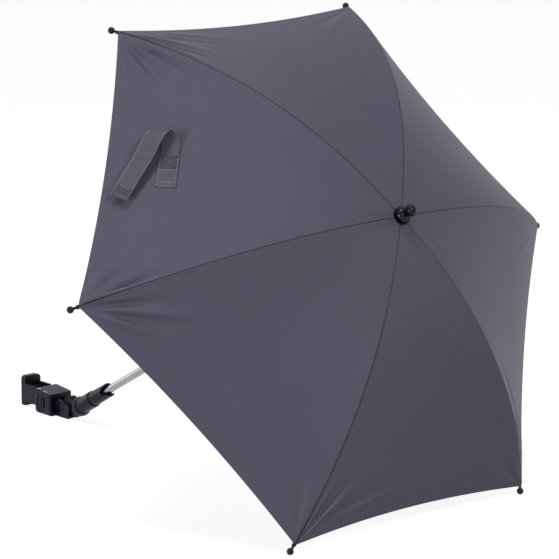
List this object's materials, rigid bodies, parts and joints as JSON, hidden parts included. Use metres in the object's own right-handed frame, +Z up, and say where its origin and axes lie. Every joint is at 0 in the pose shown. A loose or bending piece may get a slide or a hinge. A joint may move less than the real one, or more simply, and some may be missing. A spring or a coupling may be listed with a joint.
{
  "type": "pram parasol",
  "caption": "Pram parasol with a dark cloth canopy on folding ribs, a bright shaft, a tilting elbow and a tube clamp with a sliding hook jaw.",
  "frame": {"origin": "on the axis of the gripped pram tube, halfway up the clamp's two pads", "axes": "+Z up along the gripped tube, +X from the jaw towards the shaft, +Y completes a right-handed set"},
  "size_m": [0.7252, 0.6978, 0.5285],
  "materials": {
    "canopy_cloth": "plain dark slate cloth with a slight sheen",
    "strap_webbing": "woven webbing",
    "fastener": "fuzzy hook-and-loop tape",
    "tube_metal": "bright drawn tube",
    "frame_steel": "bright plated steel",
    "gloss_black": "glossy moulding",
    "matte_black": "fine moulded grain",
    "bush_nylon": "plain nylon",
    "pad_rubber": "soft moulded rubber"
  },
  "bodies": {
    "clamp": {"clamp_housing": "matte_black", "clamp_cover": "matte_black", "cover_screws": "frame_steel", "housing_pad": "pad_rubber", "hinge_pin": "frame_steel", "button_spring_near": "frame_steel", "button_spring_far": "frame_steel"},
    "jaw": {"hook_jaw": "matte_black", "jaw_pad": "pad_rubber"},
    "button_near": {"release_button_near": "matte_black"},
    "button_far": {"release_button_far": "matte_black"},
    "elbow": {"elbow": "matte_black", "socket_bush": "bush_nylon"},
    "collar": {"locking_collar": "matte_black"},
    "shaft": {"shaft_tube": "tube_metal", "shaft_end_plug": "matte_black", "shaft_top_plug": "bush_nylon", "crown": "matte_black", "crown_tie_wire": "frame_steel", "stop_ring": "bush_nylon", "stop_pin": "frame_steel", "cloth_washer": "canopy_cloth", "ferrule_base": "gloss_black", "ferrule_knob": "gloss_black"},
    "runner": {"runner": "matte_black", "runner_bush": "bush_nylon", "runner_tie_wire": "frame_steel"},
    "rib_1": {"rib_1": "frame_steel", "tip_cap_1": "gloss_black", "canopy_panel_1": "canopy_cloth"},
    "stretcher_1": {"stretcher_1": "frame_steel"},
    "rib_2": {"rib_2": "frame_steel", "tip_cap_2": "gloss_black", "canopy_panel_2": "canopy_cloth"},
    "stretcher_2": {"stretcher_2": "frame_steel"},
    "rib_3": {"rib_3": "frame_steel", "tip_cap_3": "gloss_black", "canopy_panel_3": "canopy_cloth"},
    "stretcher_3": {"stretcher_3": "frame_steel"},
    "rib_4": {"rib_4": "frame_steel", "tip_cap_4": "gloss_black", "canopy_panel_4": "canopy_cloth"},
    "stretcher_4": {"stretcher_4": "frame_steel"},
    "rib_5": {"rib_5": "frame_steel", "tip_cap_5": "gloss_black", "canopy_panel_5": "canopy_cloth"},
    "stretcher_5": {"stretcher_5": "frame_steel"},
    "rib_6": {"rib_6": "frame_steel", "tip_cap_6": "gloss_black", "canopy_panel_6": "canopy_cloth", "strap_patch": "strap_webbing", "strap_webbing": "strap_webbing", "strap_soft_fastener": "fastener", "strap_hook_fastener": "fastener"},
    "stretcher_6": {"stretcher_6": "frame_steel"}
  },
  "joints": [
    {"name": "jaw_slide", "type": "slide", "parent": "clamp", "child": "jaw", "axis": [1, 0, 0], "range_m": [-0.014, 0.004]},
    {"name": "button_near_press", "type": "slide", "parent": "clamp", "child": "button_near", "axis": [0, 1, 0], "range_m": [0, 0.0014], "stiffness_N_per_m": 900, "springref_m": -0.0005, "deforming": ["button_spring_near"]},
    {"name": "button_far_press", "type": "slide", "parent": "clamp", "child": "button_far", "axis": [0, -1, 0], "range_m": [0, 0.0014], "stiffness_N_per_m": 900, "springref_m": -0.0005, "deforming": ["button_spring_far"]},
    {"name": "elbow_tilt", "type": "hinge", "parent": "clamp", "child": "elbow", "pos_m": [0.0672, 0, -0.0033], "axis": [0, -1, 0], "range_deg": [-29.4, 60.6]},
    {"name": "collar_turn", "type": "hinge", "parent": "elbow", "child": "collar", "pos_m": [0.0777, 0, -0.0033], "axis": [0.8712, 0, 0.4909], "range_deg": [0, 90]},
    {"name": "shaft_slide", "type": "slide", "parent": "elbow", "child": "shaft", "axis": [0.8712, 0, 0.4909], "range_m": [0, 0.03]},
    {"name": "canopy_fold", "type": "hinge", "parent": "shaft", "child": "rib_1", "pos_m": [0.64407, -0.004, 0.32379], "axis": [0.2455, -0.866, -0.4356], "range_deg": [0, 64], "deforming": ["canopy_panel_1", "canopy_panel_2", "canopy_panel_3", "canopy_panel_4", "canopy_panel_5", "canopy_panel_6", "strap_patch", "strap_webbing", "strap_soft_fastener", "strap_hook_fastener"]},
    {"name": "stretcher_1_swing", "type": "hinge", "parent": "rib_1", "child": "stretcher_1", "pos_m": [0.52547, -0.1, 0.44781], "axis": [0.2455, -0.866, -0.4356], "range_deg": [-128, 0]},
    {"name": "rib_2_fold", "type": "hinge", "parent": "shaft", "child": "rib_2", "pos_m": [0.64407, 0.004, 0.32379], "axis": [-0.2455, -0.866, 0.4356], "range_deg": [0, 64]},
    {"name": "stretcher_2_swing", "type": "hinge", "parent": "rib_2", "child": "stretcher_2", "pos_m": [0.52547, 0.1, 0.44781], "axis": [-0.2455, -0.866, 0.4356], "range_deg": [-128, 0]},
    {"name": "rib_3_fold", "type": "hinge", "parent": "shaft", "child": "rib_3", "pos_m": [0.64747, 0.008, 0.31775], "axis": [-0.4909, 0, 0.8712], "range_deg": [0, 64]},
    {"name": "stretcher_3_swing", "type": "hinge", "parent": "rib_3", "child": "stretcher_3", "pos_m": [0.6105, 0.2, 0.29691], "axis": [-0.4909, 0, 0.8712], "range_deg": [-128, 0]},
    {"name": "rib_4_fold", "type": "hinge", "parent": "shaft", "child": "rib_4", "pos_m": [0.65087, 0.004, 0.31172], "axis": [-0.2455, 0.866, 0.4356], "range_deg": [0, 64]},
    {"name": "stretcher_4_swing", "type": "hinge", "parent": "rib_4", "child": "stretcher_4", "pos_m": [0.69552, 0.1, 0.14602], "axis": [-0.2455, 0.866, 0.4356], "range_deg": [-128, 0]},
    {"name": "rib_5_fold", "type": "hinge", "parent": "shaft", "child": "rib_5", "pos_m": [0.65087, -0.004, 0.31172], "axis": [0.2455, 0.866, -0.4356], "range_deg": [0, 64]},
    {"name": "stretcher_5_swing", "type": "hinge", "parent": "rib_5", "child": "stretcher_5", "pos_m": [0.69552, -0.1, 0.14602], "axis": [0.2455, 0.866, -0.4356], "range_deg": [-128, 0]},
    {"name": "rib_6_fold", "type": "hinge", "parent": "shaft", "child": "rib_6", "pos_m": [0.64747, -0.008, 0.31775], "axis": [0.4909, 0, -0.8712], "range_deg": [0, 64]},
    {"name": "stretcher_6_swing", "type": "hinge", "parent": "rib_6", "child": "stretcher_6", "pos_m": [0.6105, -0.2, 0.29691], "axis": [0.4909, 0, -0.8712], "range_deg": [-128, 0]},
    {"name": "runner_slide_link", "type": "hinge", "parent": "stretcher_1", "child": "runner", "pos_m": [0.57012, -0.004, 0.28211], "axis": [0.2455, -0.866, -0.4356], "range_deg": [0, 64]}
  ],
  "couplings": [
    {"joint": "stretcher_1_swing", "follows": "canopy_fold", "ratio": -2},
    {"joint": "rib_2_fold", "follows": "canopy_fold", "ratio": 1},
    {"joint": "stretcher_2_swing", "follows": "canopy_fold", "ratio": -2},
    {"joint": "rib_3_fold", "follows": "canopy_fold", "ratio": 1},
    {"joint": "stretcher_3_swing", "follows": "canopy_fold", "ratio": -2},
    {"joint": "rib_4_fold", "follows": "canopy_fold", "ratio": 1},
    {"joint": "stretcher_4_swing", "follows": "canopy_fold", "ratio": -2},
    {"joint": "rib_5_fold", "follows": "canopy_fold", "ratio": 1},
    {"joint": "stretcher_5_swing", "follows": "canopy_fold", "ratio": -2},
    {"joint": "rib_6_fold", "follows": "canopy_fold", "ratio": 1},
    {"joint": "stretcher_6_swing", "follows": "canopy_fold", "ratio": -2},
    {"joint": "runner_slide_link", "follows": "canopy_fold", "ratio": 1}
  ]
}
